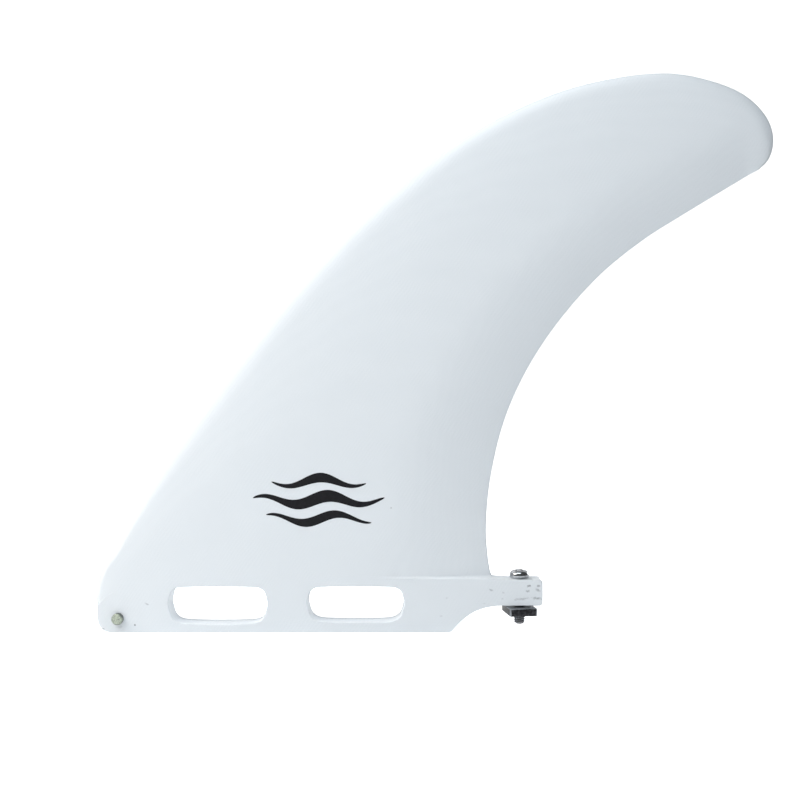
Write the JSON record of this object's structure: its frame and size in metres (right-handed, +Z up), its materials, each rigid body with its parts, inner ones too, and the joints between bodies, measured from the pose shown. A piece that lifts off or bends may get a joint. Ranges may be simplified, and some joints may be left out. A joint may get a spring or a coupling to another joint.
{
  "type": "surfboard fin",
  "caption": "Swept longboard centre fin with a raked blade, slotted box base, cross pin, and a screw with a plate nut that clamps its rear tab.",
  "frame": {"origin": "middle of the flat underside of the base, which rests on the floor of the fin box", "axes": "+Z up the blade, away from the board; +X to the rear of the board, along the slot; -Y the printed side of the fin"},
  "size_m": [0.2391, 0.0138, 0.1968],
  "materials": {
    "laminate": "sanded resin over woven glass cloth, satin",
    "pin": "turned, dull",
    "print": "thin satin ink film",
    "screw": "bright stainless",
    "plate": "tumbled sheared plate, dark"
  },
  "bodies": {
    "fin": {"fin_body": "laminate", "cross_pin": "pin", "side_decal": "print"},
    "screw": {"clamp_screw": "screw"},
    "plate": {"plate_nut": "plate"}
  },
  "joints": [
    {"name": "screw_turn", "type": "hinge", "parent": "fin", "child": "screw", "pos_m": [0.0833, 0, 0.01845], "axis": [0, 0, 1], "range_deg": [-324, 2520]},
    {"name": "plate_travel", "type": "slide", "parent": "fin", "child": "plate", "axis": [0, 0, -1], "range_m": [-0.00062, 0.00489]}
  ],
  "couplings": [
    {"joint": "screw_turn", "follows": "plate_travel", "rad_per_m": 8976}
  ]
}
